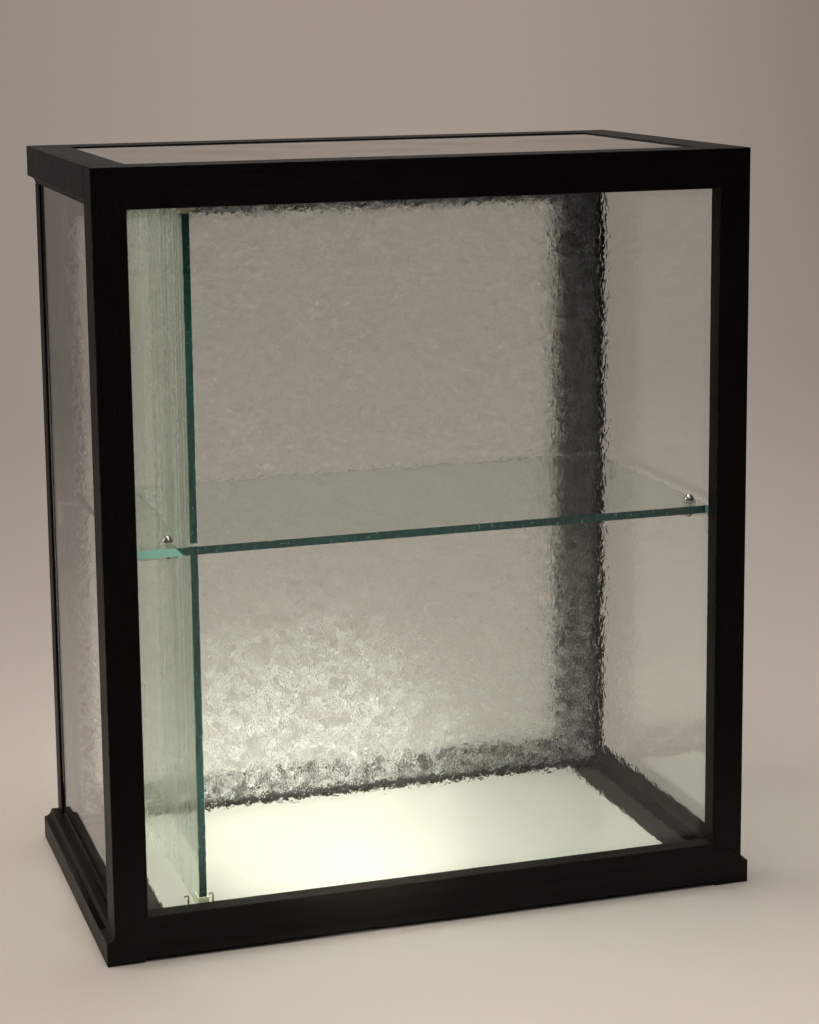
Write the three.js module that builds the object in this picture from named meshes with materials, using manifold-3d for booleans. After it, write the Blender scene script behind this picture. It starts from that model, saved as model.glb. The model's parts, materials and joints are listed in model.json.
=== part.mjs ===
// A table-top display case: a black timber frame glazed on every side, with a glass shelf, a glass
// divider, a white floor panel and a framed, rippled-glass door at the rear.
// Millimetres, +Z up. X runs across the front and Y from the front face to the rear.
import * as THREE from 'three';
import { mergeVertices } from 'three/addons/utils/BufferGeometryUtils.js';
import Module from 'manifold-3d';

const wasm = await Module();
wasm.setup();

// ---------------------------------------------------------------- driving dimensions
const CASE_WIDTH = 500; // across the front frame
const CASE_DEPTH = 288; // front face to the back of the crown
const CASE_HEIGHT = 580;

// clearances
const FIT = 0.3; // glue lines, glass in its rebates, parts that rest on one another
const RUNNING_GAP = 1; // door to its frame, top, bottom and hinge side
const CLOSING_GAP = 2; // door to its frame on the closing side, where its deep edge swings past
const LEAF_CLEARANCE = 0.2; // hinge leaf in its mortise, knuckle to knuckle

// front frame
const STILE_WIDTH = 25;
const FRONT_TOP_RAIL_HEIGHT = 30;
const OPENING_BOTTOM = 35; // front opening above the table
const FRONT_FRAME_DEPTH = 28;
const FRONT_REVEAL = 12; // front face to the front pane
const REBATE_LAP = 8; // how far a rebate reaches behind its opening
const FOOT_LENGTH = 28;
const FOOT_RISE = 3; // the rails clear the table between the feet

// plinth and crown mouldings
const PLINTH_OVERHANG = 6;
const PLINTH_FACE = 18;
const COVE_RADIUS = 6;
const POST_RECESS = 6; // rear posts and side glazing sit back from the crown's face
const SIDE_RAIL_UPSTAND = 7; // small vertical face below the side glass
const CROWN_WIDTH = 30;
const CROWN_HEIGHT = 30;
const CROWN_LIP_DEPTH = 8; // lip that carries the top pane
const TOP_PANE_RECESS = 1;

// glass
const PANE_THICKNESS = 4;
const SHELF_THICKNESS = 6;
const DIVIDER_THICKNESS = 6;
const SIDE_GLASS_INSET = 2; // post's outer face to the side pane
const SIDE_GROOVE_DEPTH = 6;
const BEAD_WIDTH = 5; // bead round the front pane, set back out of sight
const BEAD_DEPTH = 5;
const SIDE_BEAD_HEIGHT = 13;

// rear posts and floor
const POST_WIDTH = 12;
const POST_DEPTH = 18;
const POST_LIP_DEPTH = 14; // inner lip that the side pane beds against
const REAR_RAIL_HEIGHT = 21;
const SIDE_RAIL_INNER_WIDTH = 27; // plinth face to the inner face of the side rail
const LEDGER_WIDTH = 12; // ledge under the base board
const LEDGER_HEIGHT = 9;
const BOARD_THICKNESS = 8;
const PANEL_THICKNESS = 3;
const PANEL_SIDE_MARGIN = 25; // dark board left bare beside the white panel
const PANEL_END_MARGIN = 3;

// shelf
const SHELF_UNDERSIDE = 297; // above the table
const SHELF_LEFT_GAP = 16; // shelf end to the side pane
const SHELF_RIGHT_GAP = 10;
const SHELF_REAR_GAP = 4;
const SCREW_SETBACK = 13; // shelf's front edge to the screws
const LEFT_SCREW_INSET = 26; // shelf end to screw
const RIGHT_SCREW_INSET = 10.5;
const SCREW_SHANK = 3;
const SCREW_HEAD = 8;
const SCREW_HEAD_HEIGHT = 5;
const SCREW_REACH = 5; // shank below the shelf
const WASHER_DIAMETER = 10.4;
const WASHER_THICKNESS = 1.5;
const BRACKET_WIDTH = 12;
const BRACKET_THICKNESS = 3;
const BRACKET_HEIGHT = 20;
const BRACKET_TIP = 6; // bracket beyond the screw
const REAR_BRACKET_REACH = 30; // plain brackets at the rear, from the side pane

// divider
const LEFT_BAY_WIDTH = 57.5; // left pane to divider
const DIVIDER_FLOOR_GAP = 2.5;
const DIVIDER_TOP_GAP = 4; // divider to the front opening's top edge
const DIVIDER_REAR_GAP = 6;
const CLIP_WALL = 2; // across the pane's end
const CLIP_CHEEK = 0.8; // beside the pane
const CLIP_LENGTH = 12;
const CLIP_GRIP = 2; // overlap on the divider's edge at the top
const CLIP_EAR = 2.9; // clip's ears beyond its cheeks
const CLIP_EAR_HEIGHT = 4;
const SHOE_HEIGHT = 12.3;
const HOOK_WIRE = 1.1;
const HOOK_BEND_RADIUS = 1.4;
const HOOK_HEIGHT = 13.6;
const HOOK_FOOT = 3;
const HOOK_FOOT_HEIGHT = 0.8;
const HOOK_SETBACK = 6; // behind the front end of the shoe
const RIGHT_HOOK_OFFSET = 8.2; // divider to the hook's stem
const LEFT_HOOK_OFFSET = 10.5;

// rear door
const DOOR_DEPTH = 30;
const DOOR_SETBACK = 2; // door's rear face in front of the posts' rear faces
const DOOR_WALL = 6; // side walls that hold the pane off the frame
const DOOR_FRAME_THICKNESS = 10;
const HINGE_STILE_WIDTH = 30;
const CLOSING_STILE_WIDTH = 20;
const DOOR_TOP_RAIL_HEIGHT = 28;
const DOOR_BOTTOM_RAIL_HEIGHT = 18;
const GASKET_WALL = 1;
const GASKET_LAP = 4;
const KNOB_DIAMETER = 15;
const KNOB_REACH = 18;
const KNOB_BASE_DIAMETER = 10;
const KNOB_NECK_DIAMETER = 7;

// hinges and catch
const HINGE_HEIGHT = 40;
const HINGE_INSET = 60; // door's end to the hinge
const LEAF_THICKNESS = 1;
const LEAF_WIDTH = 13;
const KNUCKLE_DIAMETER = 5;
const KNUCKLE_COUNT = 5;
const PIN_DIAMETER = 2.4;
const PIN_HEAD_DIAMETER = 4.4;
const PIN_HEAD_HEIGHT = 1.6;
const CATCH_LENGTH = 30;
const CATCH_DEPTH = 13;
const CATCH_HEIGHT = 19;
const CATCH_TO_DIVIDER = 40;
const STRIKE_LENGTH = 20;
const STRIKE_HEIGHT = 12;
const STRIKE_THICKNESS = 1;

const ROUND_SEGMENTS = 32;
const SMALL_SEGMENTS = 24;
const COVE_SEGMENTS = 8;
const WIRE_SEGMENTS = 10;

// ---------------------------------------------------------------- places worked out from them
const halfWidth = CASE_WIDTH / 2;
const plinthX = halfWidth + PLINTH_OVERHANG;
const plinthTop = PLINTH_FACE + COVE_RADIUS;
const openingX = halfWidth - STILE_WIDTH;
const openingTop = CASE_HEIGHT - FRONT_TOP_RAIL_HEIGHT;
const ceiling = CASE_HEIGHT - CROWN_HEIGHT;
const postX = halfWidth - POST_RECESS;
const postInnerX = postX - POST_WIDTH;
const paneOuterX = postX - SIDE_GLASS_INSET;
const paneInnerX = paneOuterX - PANE_THICKNESS;
const postFrontY = CASE_DEPTH - POST_DEPTH;
const postLipY = postFrontY - POST_LIP_DEPTH;
const crownInnerX = halfWidth - CROWN_WIDTH;
const crownLipX = crownInnerX - CROWN_LIP_DEPTH;
const crownInnerY = CASE_DEPTH - CROWN_WIDTH;
const crownLipY = crownInnerY - CROWN_LIP_DEPTH;
const topPaneTop = CASE_HEIGHT - TOP_PANE_RECESS;
const topSeat = topPaneTop - PANE_THICKNESS - FIT;
const sideRailTop = plinthTop + SIDE_RAIL_UPSTAND;
const sideRailInnerX = plinthX - SIDE_RAIL_INNER_WIDTH;
const ledgerX = sideRailInnerX - LEDGER_WIDTH;
const beadSeat = plinthTop + FIT;
const boardTop = LEDGER_HEIGHT + FIT + BOARD_THICKNESS;
const panelTop = boardTop + FIT + PANEL_THICKNESS;
const panelX = sideRailInnerX - PANEL_SIDE_MARGIN;
const frontBeadY = FRONT_REVEAL + PANE_THICKNESS + 2 * FIT;
const interiorFrontY = frontBeadY + BEAD_DEPTH;

const doorFrontY = CASE_DEPTH - DOOR_SETBACK - DOOR_DEPTH;
const doorRearY = CASE_DEPTH - DOOR_SETBACK;
const doorLeftX = -postInnerX + CLOSING_GAP;
const doorRightX = postInnerX - RUNNING_GAP;
const doorBottom = REAR_RAIL_HEIGHT + RUNNING_GAP;
const doorTop = ceiling - RUNNING_GAP;
const doorFrameY = doorRearY - DOOR_FRAME_THICKNESS;
const gasketDepth = PANE_THICKNESS + 2 * GASKET_WALL + 2 * FIT;
const doorWallY = doorFrontY + gasketDepth + FIT;

const shelfLeftX = -paneInnerX + SHELF_LEFT_GAP;
const shelfRightX = paneInnerX - SHELF_RIGHT_GAP;
const shelfFrontY = interiorFrontY + FIT;
const shelfRearY = doorFrontY - SHELF_REAR_GAP;
const shelfTop = SHELF_UNDERSIDE + SHELF_THICKNESS;

const dividerX = -paneInnerX + LEFT_BAY_WIDTH + DIVIDER_THICKNESS / 2;
const clipFrontY = FRONT_FRAME_DEPTH + FIT;
const dividerFrontY = clipFrontY + CLIP_WALL + FIT;
const dividerRearY = doorFrontY - DIVIDER_REAR_GAP;
const clipRearY = dividerRearY + FIT + CLIP_WALL - CLIP_LENGTH;
const dividerBottom = panelTop + DIVIDER_FLOOR_GAP;
const dividerTop = openingTop - DIVIDER_TOP_GAP;

const hingeX = (postInnerX + doorRightX) / 2;
const hingeY = CASE_DEPTH + KNUCKLE_DIAMETER / 2 + FIT;
const hingePlaces = { lower: doorBottom + HINGE_INSET, upper: doorTop - HINGE_INSET - HINGE_HEIGHT };

// ---------------------------------------------------------------- materials
const finish = (color, roughness, metalness = 0, opacity = 1) =>
  new THREE.MeshStandardMaterial({ color, roughness, metalness, opacity, transparent: opacity < 1 });
const blackTimber = finish(0x1a1512, 0.45);
const clearGlass = finish(0xd4e4dc, 0.03, 0, 0.3);
const greenGlass = finish(0x7fb8a0, 0.04, 0, 0.45);
const rippledGlass = finish(0xc8d2cc, 0.15, 0, 0.45);
const clearPlastic = finish(0xe6ece8, 0.1, 0, 0.5);
const palePlastic = finish(0xe4dfae, 0.35);
const whitePanel = finish(0xf0efe6, 0.12);
const chrome = finish(0xc8c8c8, 0.12, 1);
const brass = finish(0x8f7334, 0.3, 1);
const darkSteel = finish(0x4a4642, 0.35, 1);
const blackRubber = finish(0x101010, 0.8);
const blackPlastic = finish(0x181818, 0.5);

// ---------------------------------------------------------------- solids
function toSolid(geometry) {
  geometry.deleteAttribute('normal');
  geometry.deleteAttribute('uv');
  const merged = mergeVertices(geometry);
  const vertProperties = new Float32Array(merged.attributes.position.array);
  const triVerts = new Uint32Array(merged.index.array);
  return new wasm.Manifold(new wasm.Mesh({ numProp: 3, vertProperties, triVerts }));
}

function toGeometry(solid) {
  const mesh = solid.getMesh();
  const geometry = new THREE.BufferGeometry();
  geometry.setAttribute('position', new THREE.BufferAttribute(mesh.vertProperties, 3));
  geometry.setIndex(new THREE.BufferAttribute(mesh.triVerts, 1));
  geometry.computeVertexNormals();
  return geometry;
}

// a block between two corners
function block([x0, x1], [y0, y1], [z0, z1]) {
  const geometry = new THREE.BoxGeometry(x1 - x0, y1 - y0, z1 - z0);
  geometry.translate((x0 + x1) / 2, (y0 + y1) / 2, (z0 + z1) / 2);
  return toSolid(geometry);
}

// an outline drawn in X and Z, run from y0 to y1
function alongY(shape, y0, y1) {
  const geometry = new THREE.ExtrudeGeometry(shape, {
    depth: y1 - y0,
    bevelEnabled: false,
    curveSegments: COVE_SEGMENTS,
  });
  geometry.rotateX(Math.PI / 2);
  geometry.translate(0, y1, 0);
  return toSolid(geometry);
}

// an outline drawn in X and Y, run from z0 to z1
function alongZ(shape, z0, z1) {
  const geometry = new THREE.ExtrudeGeometry(shape, { depth: z1 - z0, bevelEnabled: false });
  geometry.translate(0, 0, z0);
  return toSolid(geometry);
}

// a round piece on an upright axis, from a profile of [radius, height] points
function turned(profile, x, y, segments = ROUND_SEGMENTS) {
  const geometry = new THREE.LatheGeometry(
    profile.map(([radius, height]) => new THREE.Vector2(radius, height)),
    segments,
  );
  geometry.rotateX(Math.PI / 2);
  geometry.translate(x, y, 0);
  return toSolid(geometry);
}

function cylinder(diameter, x, y, z0, z1, segments = ROUND_SEGMENTS) {
  const radius = diameter / 2;
  return turned([[0, z0], [radius, z0], [radius, z1], [0, z1]], x, y, segments);
}

function polygon(points) {
  return new THREE.Shape(points.map(([a, b]) => new THREE.Vector2(a, b)));
}

const cut = (solid, ...tools) => tools.reduce((rest, tool) => rest.subtract(tool), solid);
const join = (...solids) => solids.reduce((sum, solid) => sum.add(solid));
const mirrorX = (solid) => solid.mirror([1, 0, 0]);

const displayCase = new THREE.Group();
const frontOrigin = new THREE.Group(); // here y = 0 is the front face
displayCase.add(frontOrigin);

function piece(name, solid, material) {
  const mesh = new THREE.Mesh(toGeometry(solid), material);
  mesh.name = name;
  frontOrigin.add(mesh);
}

// ---------------------------------------------------------------- front frame
const REACH = 1; // how far a cutting tool runs past the face it opens

// from behind: the rebate for the front pane and the grooves for the side panes
function frontFrameCuts() {
  const rebate = block(
    [-openingX - REBATE_LAP, openingX + REBATE_LAP],
    [FRONT_REVEAL, FRONT_FRAME_DEPTH + CROWN_LIP_DEPTH + REACH],
    [OPENING_BOTTOM - REBATE_LAP, openingTop + REBATE_LAP],
  );
  const groove = sideGroove([FRONT_FRAME_DEPTH - SIDE_GROOVE_DEPTH, FRONT_FRAME_DEPTH + REACH]);
  return [rebate, groove, mirrorX(groove)];
}

function sideGroove(yRange) {
  return block(
    [paneInnerX - FIT, paneOuterX + FIT],
    yRange,
    [plinthTop + FIT, ceiling + SIDE_GROOVE_DEPTH],
  );
}

// foot and plinth share this outline on the right-hand side, from the table to the top of the cove
function plinthEdge(shape) {
  shape.lineTo(plinthX, 0);
  shape.lineTo(plinthX, PLINTH_FACE);
  shape.absarc(plinthX, plinthTop, COVE_RADIUS, -Math.PI / 2, -Math.PI, true);
}

function frontBottomRail() {
  const half = new THREE.Shape();
  half.moveTo(0, FOOT_RISE);
  half.lineTo(plinthX - FOOT_LENGTH, FOOT_RISE);
  half.lineTo(plinthX - FOOT_LENGTH, 0);
  plinthEdge(half);
  half.lineTo(openingX, OPENING_BOTTOM);
  half.lineTo(0, OPENING_BOTTOM);
  const right = alongY(half, 0, FRONT_FRAME_DEPTH);
  return cut(join(right, mirrorX(right)), ...frontFrameCuts());
}

function frontTopRail() {
  const outline = polygon([
    [-openingX, openingTop],
    [openingX, openingTop],
    [halfWidth, CASE_HEIGHT],
    [-halfWidth, CASE_HEIGHT],
  ]);
  const lip = block(
    [-crownLipX + FIT, crownLipX - FIT],
    [FRONT_FRAME_DEPTH - REACH, FRONT_FRAME_DEPTH + CROWN_LIP_DEPTH],
    [openingTop + REBATE_LAP, topSeat],
  );
  return cut(join(alongY(outline, 0, FRONT_FRAME_DEPTH), lip), ...frontFrameCuts());
}

function frontRightStile() {
  const outline = polygon([
    [openingX, OPENING_BOTTOM + FIT],
    [halfWidth, plinthTop + FIT],
    [halfWidth, CASE_HEIGHT - FIT],
    [openingX, openingTop - FIT],
  ]);
  return cut(alongY(outline, 0, FRONT_FRAME_DEPTH), ...frontFrameCuts());
}

function frontBeads() {
  const outer = openingX + REBATE_LAP - FIT;
  const inner = outer - BEAD_WIDTH;
  const low = OPENING_BOTTOM - REBATE_LAP + FIT;
  const high = openingTop + REBATE_LAP - FIT;
  const depth = [frontBeadY, frontBeadY + BEAD_DEPTH];
  const between = [-inner + FIT, inner - FIT];
  return {
    right: block([inner, outer], depth, [low, high]),
    left: block([-outer, -inner], depth, [low, high]),
    top: block(between, depth, [high - BEAD_WIDTH, high]),
    bottom: block(between, depth, [low, low + BEAD_WIDTH]),
  };
}

function frontGlass() {
  const lap = REBATE_LAP - FIT;
  const front = FRONT_REVEAL + FIT;
  return block(
    [-openingX - lap, openingX + lap],
    [front, front + PANE_THICKNESS],
    [OPENING_BOTTOM - lap, openingTop + lap],
  );
}

piece('front_bottom_rail', frontBottomRail(), blackTimber);
piece('front_top_rail', frontTopRail(), blackTimber);
piece('front_right_stile', frontRightStile(), blackTimber);
piece('front_left_stile', mirrorX(frontRightStile()), blackTimber);
piece('front_glass', frontGlass(), clearGlass);
for (const [side, bead] of Object.entries(frontBeads())) {
  piece(`front_bead_${side}`, bead, blackTimber);
}

// ---------------------------------------------------------------- crown
function rightTopRail() {
  const outline = new THREE.Shape();
  outline.moveTo(crownLipX, ceiling);
  outline.lineTo(halfWidth - COVE_RADIUS, ceiling);
  outline.absarc(halfWidth, ceiling, COVE_RADIUS, Math.PI, Math.PI / 2, true);
  outline.lineTo(halfWidth, CASE_HEIGHT);
  outline.lineTo(crownLipX, CASE_HEIGHT);
  const glassSeat = block(
    [crownLipX - REACH, crownInnerX],
    [FRONT_FRAME_DEPTH, crownInnerY],
    [topSeat, CASE_HEIGHT + REACH],
  );
  const rail = alongY(outline, FRONT_FRAME_DEPTH + FIT, CASE_DEPTH);
  return cut(rail, glassSeat, sideGroove([FRONT_FRAME_DEPTH, postFrontY]));
}

function rearTopRail() {
  const across = [-crownLipX + FIT, crownLipX - FIT];
  return join(
    block(across, [crownInnerY, CASE_DEPTH], [ceiling, CASE_HEIGHT]),
    block(across, [crownLipY, CASE_DEPTH - REACH], [ceiling, topSeat]),
  );
}

function topGlass() {
  const reach = crownInnerX - FIT;
  return block(
    [-reach, reach],
    [FRONT_FRAME_DEPTH + FIT, crownInnerY - FIT],
    [topPaneTop - PANE_THICKNESS, topPaneTop],
  );
}

piece('right_top_rail', rightTopRail(), blackTimber);
piece('left_top_rail', mirrorX(rightTopRail()), blackTimber);
piece('rear_top_rail', rearTopRail(), blackTimber);
piece('top_glass', topGlass(), clearGlass);

// ---------------------------------------------------------------- sides and rear corners
function rightBottomRail() {
  const outline = new THREE.Shape();
  outline.moveTo(ledgerX, 0);
  plinthEdge(outline);
  outline.lineTo(postX, plinthTop);
  outline.lineTo(postX, sideRailTop);
  outline.lineTo(paneOuterX + FIT, sideRailTop);
  outline.lineTo(paneOuterX + FIT, plinthTop);
  outline.lineTo(sideRailInnerX, plinthTop);
  outline.lineTo(sideRailInnerX, LEDGER_HEIGHT);
  outline.lineTo(ledgerX, LEDGER_HEIGHT);
  const rear = [postLipY, CASE_DEPTH + REACH];
  return cut(
    alongY(outline, FRONT_FRAME_DEPTH + FIT, CASE_DEPTH),
    block([ledgerX - REACH, plinthX], rear, [plinthTop, sideRailTop + REACH]),
    block([ledgerX - REACH, sideRailInnerX], rear, [-REACH, plinthTop]),
    block([ledgerX - REACH, postInnerX], rear, [REAR_RAIL_HEIGHT, plinthTop + REACH]),
  );
}

function rightRearPost() {
  const outline = polygon([
    [postInnerX, postLipY],
    [paneInnerX - FIT, postLipY],
    [paneInnerX - FIT, postFrontY],
    [postX, postFrontY],
    [postX, CASE_DEPTH],
    [postInnerX, CASE_DEPTH],
  ]);
  return alongZ(outline, plinthTop + FIT, ceiling - FIT);
}

// pocket in the post's inner face for a hinge's case leaf
function postMortise(z) {
  return block(
    [postInnerX - REACH, hingeX + LEAF_CLEARANCE + LEAF_THICKNESS],
    [CASE_DEPTH - LEAF_WIDTH - LEAF_CLEARANCE, CASE_DEPTH + REACH],
    [z - LEAF_CLEARANCE, z + HINGE_HEIGHT + LEAF_CLEARANCE],
  );
}

function rightGlass() {
  return block(
    [paneInnerX, paneOuterX],
    [FRONT_FRAME_DEPTH - SIDE_GROOVE_DEPTH + FIT, postFrontY - FIT],
    [plinthTop + 2 * FIT, ceiling + SIDE_GROOVE_DEPTH - FIT],
  );
}

// the bead's inner face leans back towards the glass in two steps
function rightGlassBead() {
  const back = paneInnerX - FIT;
  const width = back - sideRailInnerX;
  const lowFace = SIDE_BEAD_HEIGHT / 2;
  return alongY(
    polygon([
      [sideRailInnerX, beadSeat],
      [back, beadSeat],
      [back, beadSeat + SIDE_BEAD_HEIGHT],
      [back - width / 4, beadSeat + SIDE_BEAD_HEIGHT],
      [back - width / 2, beadSeat + lowFace + width / 4],
      [sideRailInnerX + width / 8, beadSeat + lowFace],
      [sideRailInnerX, beadSeat + lowFace - width / 8],
    ]),
    FRONT_FRAME_DEPTH + FIT,
    postLipY - FIT,
  );
}

const rightPost = cut(rightRearPost(), ...Object.values(hingePlaces).map(postMortise));
piece('right_bottom_rail', rightBottomRail(), blackTimber);
piece('left_bottom_rail', mirrorX(rightBottomRail()), blackTimber);
piece('right_rear_post', rightPost, blackTimber);
piece('left_rear_post', mirrorX(rightRearPost()), blackTimber);
piece('right_glass', rightGlass(), clearGlass);
piece('left_glass', mirrorX(rightGlass()), clearGlass);
piece('right_glass_bead', rightGlassBead(), blackTimber);
piece('left_glass_bead', mirrorX(rightGlassBead()), blackTimber);

// ---------------------------------------------------------------- floor
const floorX = sideRailInnerX - FIT;
const floorEndY = postLipY - FIT;

function rearBottomRail() {
  return block([-floorX, floorX], [postLipY, CASE_DEPTH], [FOOT_RISE, REAR_RAIL_HEIGHT]);
}

function baseBoard() {
  const underside = LEDGER_HEIGHT + FIT;
  return block([-floorX, floorX], [FRONT_FRAME_DEPTH + FIT, floorEndY], [underside, boardTop]);
}

function floorPanel() {
  return block(
    [-panelX, panelX],
    [FRONT_FRAME_DEPTH + FIT, floorEndY - PANEL_END_MARGIN],
    [boardTop + FIT, panelTop],
  );
}

piece('rear_bottom_rail', rearBottomRail(), blackTimber);
piece('base_board', baseBoard(), blackTimber);
piece('floor_panel', floorPanel(), whitePanel);

// ---------------------------------------------------------------- shelf
const screwY = shelfFrontY + SCREW_SETBACK;
const screwPlaces = {
  left: [shelfLeftX + LEFT_SCREW_INSET, screwY],
  right: [shelfRightX - RIGHT_SCREW_INSET, screwY],
};

function screwHole(x, y) {
  return cylinder(SCREW_SHANK + 2 * FIT, x, y, 0, CASE_HEIGHT, SMALL_SEGMENTS);
}

function shelfGlass() {
  const plate = block([shelfLeftX, shelfRightX], [shelfFrontY, shelfRearY], [SHELF_UNDERSIDE, shelfTop]);
  return cut(plate, ...Object.values(screwPlaces).map(([x, y]) => screwHole(x, y)));
}

// an angle bonded to the side pane, with its tongue under the shelf as far as x = side * tip
function shelfBracket(side, tip, y) {
  const wall = paneInnerX - FIT;
  const top = SHELF_UNDERSIDE - FIT;
  const outline = polygon([
    [side * wall, top],
    [side * tip, top],
    [side * tip, top - BRACKET_THICKNESS],
    [side * (wall - BRACKET_THICKNESS), top - BRACKET_THICKNESS],
    [side * (wall - BRACKET_THICKNESS), top - BRACKET_HEIGHT],
    [side * wall, top - BRACKET_HEIGHT],
  ]);
  return alongY(outline, y - BRACKET_WIDTH / 2, y + BRACKET_WIDTH / 2);
}

function shelfWasher(x, y) {
  const base = shelfTop + FIT;
  const disc = cylinder(WASHER_DIAMETER, x, y, base, base + WASHER_THICKNESS, SMALL_SEGMENTS);
  return cut(disc, screwHole(x, y));
}

// domed head, plain shank
function shelfScrew(x, y) {
  const seat = shelfTop + 2 * FIT + WASHER_THICKNESS;
  const profile = [[0, SHELF_UNDERSIDE - SCREW_REACH]];
  profile.push([SCREW_SHANK / 2, SHELF_UNDERSIDE - SCREW_REACH]);
  profile.push([SCREW_SHANK / 2, seat]);
  for (let step = 0; step <= COVE_SEGMENTS; step += 1) {
    const angle = (step / COVE_SEGMENTS) * (Math.PI / 2);
    const radius = step === COVE_SEGMENTS ? 0 : (SCREW_HEAD / 2) * Math.cos(angle);
    profile.push([radius, seat + SCREW_HEAD_HEIGHT * Math.sin(angle)]);
  }
  return turned(profile, x, y, SMALL_SEGMENTS);
}

piece('shelf_glass', shelfGlass(), greenGlass);
for (const [place, [x, y]] of Object.entries(screwPlaces)) {
  const side = Math.sign(x);
  const screwed = shelfBracket(side, Math.abs(x) - BRACKET_TIP, y);
  const plain = shelfBracket(side, paneInnerX - REAR_BRACKET_REACH, shelfRearY - SCREW_SETBACK);
  piece(`shelf_bracket_front_${place}`, cut(screwed, screwHole(x, y)), clearPlastic);
  piece(`shelf_bracket_rear_${place}`, plain, clearPlastic);
  piece(`shelf_washer_${place}`, shelfWasher(x, y), palePlastic);
  piece(`shelf_screw_${place}`, shelfScrew(x, y), chrome);
}

// ---------------------------------------------------------------- divider
const dividerHalf = DIVIDER_THICKNESS / 2;
const socketHalf = dividerHalf + FIT;
const clipHalf = socketHalf + CLIP_CHEEK;

function dividerPane(z0, z1) {
  return block([dividerX - dividerHalf, dividerX + dividerHalf], [dividerFrontY, dividerRearY], [z0, z1]);
}

// the slot that a clip or shoe leaves for the pane's corner
function dividerSocket(z0, z1) {
  return block(
    [dividerX - socketHalf, dividerX + socketHalf],
    [dividerFrontY - FIT, dividerRearY + FIT],
    [z0, z1],
  );
}

// hangs from what is above the divider; its two ears bear on the underside
function topClip(y0, hangsFrom) {
  const low = dividerTop - CLIP_GRIP;
  const earHalf = clipHalf + CLIP_EAR;
  const earBottom = openingTop - CLIP_EAR_HEIGHT;
  const body = block([dividerX - clipHalf, dividerX + clipHalf], [y0, y0 + CLIP_LENGTH], [low, hangsFrom - FIT]);
  const ears = block(
    [dividerX - earHalf, dividerX + earHalf],
    [y0, y0 + CLIP_LENGTH],
    [earBottom, openingTop - FIT],
  );
  return cut(join(body, ears), dividerSocket(low - REACH, dividerTop + FIT));
}

function bottomShoe(y0) {
  const low = panelTop + FIT;
  const body = block(
    [dividerX - clipHalf, dividerX + clipHalf],
    [y0, y0 + CLIP_LENGTH],
    [low, low + SHOE_HEIGHT],
  );
  return cut(body, dividerSocket(dividerBottom - FIT, low + SHOE_HEIGHT + REACH));
}

// a cane-shaped hook on a small round foot, its head turned to the left
function dividerHook(stemX) {
  const wireRadius = HOOK_WIRE / 2;
  const y = clipFrontY + HOOK_SETBACK;
  const low = panelTop + FIT;
  const spring = low + HOOK_HEIGHT - wireRadius - HOOK_BEND_RADIUS;
  const stem = new THREE.LineCurve3(new THREE.Vector3(stemX, y, low), new THREE.Vector3(stemX, y, spring));
  const route = new THREE.CurvePath();
  route.add(stem);
  route.add(new HookBend(stemX - HOOK_BEND_RADIUS, y, spring));
  const geometry = new THREE.ExtrudeGeometry(roundShape(wireRadius), {
    extrudePath: route,
    steps: ROUND_SEGMENTS,
    curveSegments: WIRE_SEGMENTS / 2,
    bevelEnabled: false,
  });
  const foot = cylinder(HOOK_FOOT, stemX, y, low, low + HOOK_FOOT_HEIGHT, SMALL_SEGMENTS);
  return join(toSolid(geometry), foot);
}

function roundShape(radius) {
  const shape = new THREE.Shape();
  shape.absarc(0, 0, radius, 0, 2 * Math.PI, false);
  return shape;
}

// half a circle from the stem, over the top, to the tip
class HookBend extends THREE.Curve {
  constructor(centreX, y, z) {
    super();
    Object.assign(this, { centreX, y, z });
  }

  getPoint(t, target = new THREE.Vector3()) {
    const angle = Math.PI * t;
    return target.set(
      this.centreX + HOOK_BEND_RADIUS * Math.cos(angle),
      this.y,
      this.z + HOOK_BEND_RADIUS * Math.sin(angle),
    );
  }
}

piece('lower_divider_glass', dividerPane(dividerBottom, SHELF_UNDERSIDE - FIT), greenGlass);
piece('upper_divider_glass', dividerPane(shelfTop + FIT, dividerTop), greenGlass);
piece('divider_clip_front', topClip(clipFrontY, openingTop + REBATE_LAP), palePlastic);
piece('divider_clip_rear', topClip(clipRearY, ceiling), palePlastic);
piece('divider_shoe_front', bottomShoe(clipFrontY), palePlastic);
piece('divider_shoe_rear', bottomShoe(clipRearY), palePlastic);
piece('divider_hook_left', dividerHook(dividerX - LEFT_HOOK_OFFSET), brass);
piece('divider_hook_right', dividerHook(dividerX + RIGHT_HOOK_OFFSET), brass);

// ---------------------------------------------------------------- rear door
const closingInnerX = doorLeftX + CLOSING_STILE_WIDTH;
const hingeInnerX = doorRightX - HINGE_STILE_WIDTH;

// upright member: a wall that carries the pane and a flat frame behind it, an L seen from above
function doorStile(outerX, innerX) {
  const inward = Math.sign(innerX - outerX);
  return alongZ(
    polygon([
      [outerX, doorWallY],
      [outerX + inward * DOOR_WALL, doorWallY],
      [outerX + inward * DOOR_WALL, doorFrameY],
      [innerX, doorFrameY],
      [innerX, doorRearY],
      [outerX, doorRearY],
    ]),
    doorBottom,
    doorTop,
  );
}

// cross member between the stiles, with the same wall along its outer edge
function doorRail(outerZ, innerZ) {
  const inward = Math.sign(innerZ - outerZ);
  const span = (a, b) => [Math.min(a, b), Math.max(a, b)];
  const wallZ = span(outerZ, outerZ + inward * DOOR_WALL);
  const betweenFrames = [closingInnerX + FIT, hingeInnerX - FIT];
  const betweenWalls = [doorLeftX + DOOR_WALL + FIT, doorRightX - DOOR_WALL - FIT];
  return join(
    block(betweenWalls, [doorWallY, doorFrameY - FIT], wallZ),
    block(betweenFrames, [doorWallY + REACH, doorRearY], wallZ),
    block(betweenFrames, [doorFrameY, doorRearY], span(outerZ, innerZ)),
  );
}

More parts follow.
